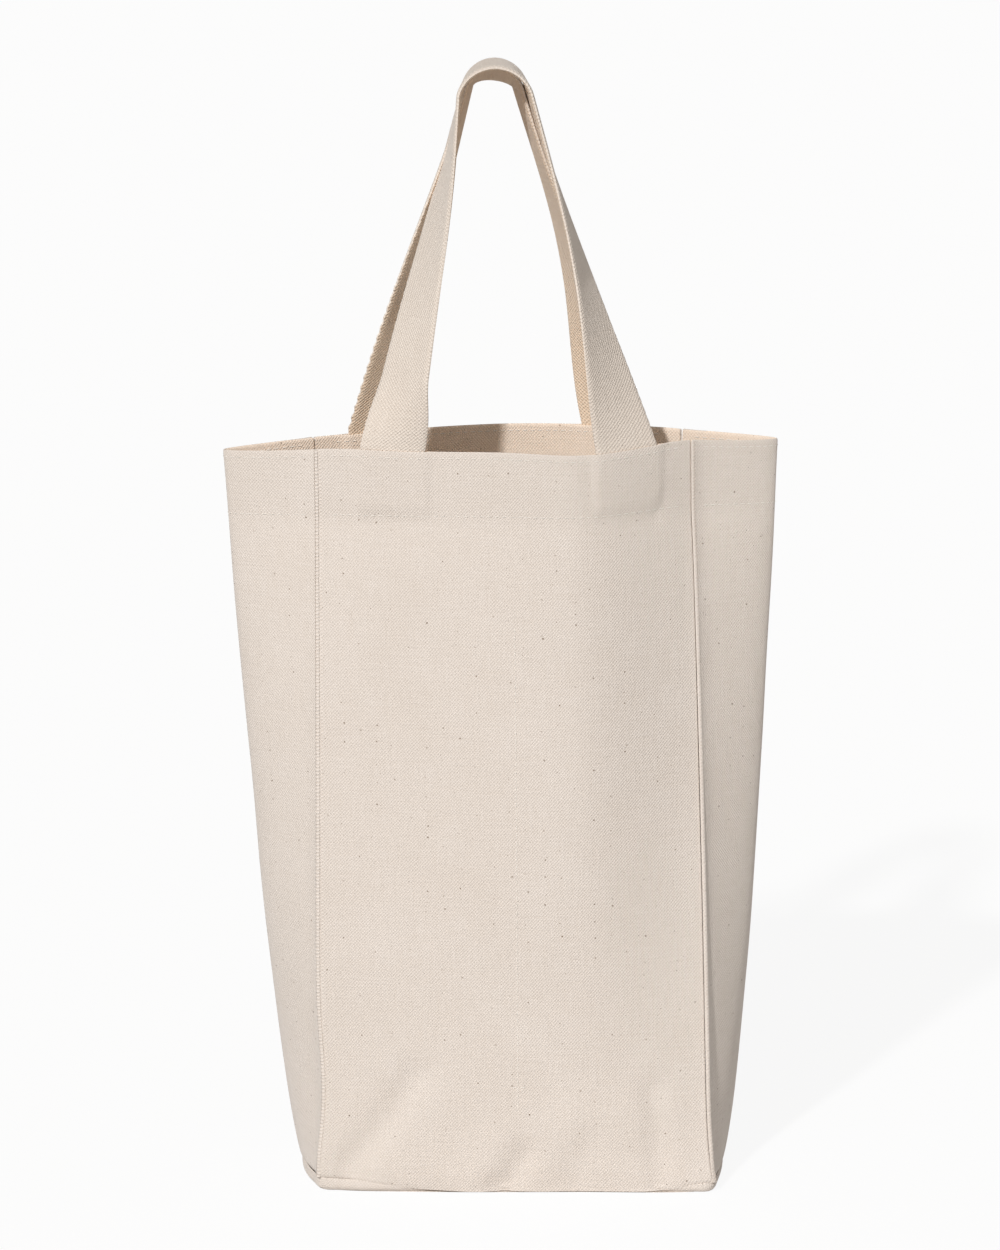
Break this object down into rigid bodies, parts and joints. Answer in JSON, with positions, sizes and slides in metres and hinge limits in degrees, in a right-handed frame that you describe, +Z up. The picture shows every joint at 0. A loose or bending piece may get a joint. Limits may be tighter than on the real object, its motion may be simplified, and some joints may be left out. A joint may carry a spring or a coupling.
{
  "type": "bottle carrier",
  "caption": "Open-topped canvas tote for bottles, with folding side gussets, an inner divider sewn down the middle and webbing handle loops.",
  "frame": {"origin": "on the floor under the middle of the bag", "axes": "+Z up, +X to the right seen from the front, the front panel towards -Y"},
  "size_m": [0.2482, 0.097, 0.513],
  "materials": {
    "canvas": "natural cotton canvas",
    "webbing": "natural cotton webbing",
    "thread": "natural cotton thread"
  },
  "bodies": {
    "bag": {"front_panel": "canvas", "back_panel": "canvas", "left_gusset": "canvas", "right_gusset": "canvas", "base_panel": "canvas", "divider_panel": "canvas", "front_facing": "canvas", "back_facing": "canvas", "left_facing": "canvas", "right_facing": "canvas", "front_handle_strap_ends": "webbing", "back_handle_strap_ends": "webbing", "front_rim_stitches": "thread", "back_rim_stitches": "thread", "left_rim_stitches": "thread", "right_rim_stitches": "thread", "front_hem_stitches": "thread", "back_hem_stitches": "thread", "left_hem_stitches": "thread", "right_hem_stitches": "thread", "front_divider_stitches": "thread", "back_divider_stitches": "thread", "front_left_seam_thread": "thread", "front_right_seam_thread": "thread", "back_left_seam_thread": "thread", "back_right_seam_thread": "thread", "base_seam_thread": "thread"},
    "front_handle": {"front_handle_strap": "webbing"},
    "back_handle": {"back_handle_strap": "webbing"}
  },
  "joints": [
    {"name": "front_handle_swing", "type": "hinge", "parent": "bag", "child": "front_handle", "pos_m": [0, -0.0365, 0.338], "axis": [1, 0, 0], "range_deg": [0, 165]},
    {"name": "back_handle_swing", "type": "hinge", "parent": "bag", "child": "back_handle", "pos_m": [0, 0.0365, 0.338], "axis": [-1, 0, 0], "range_deg": [0, 165]}
  ]
}
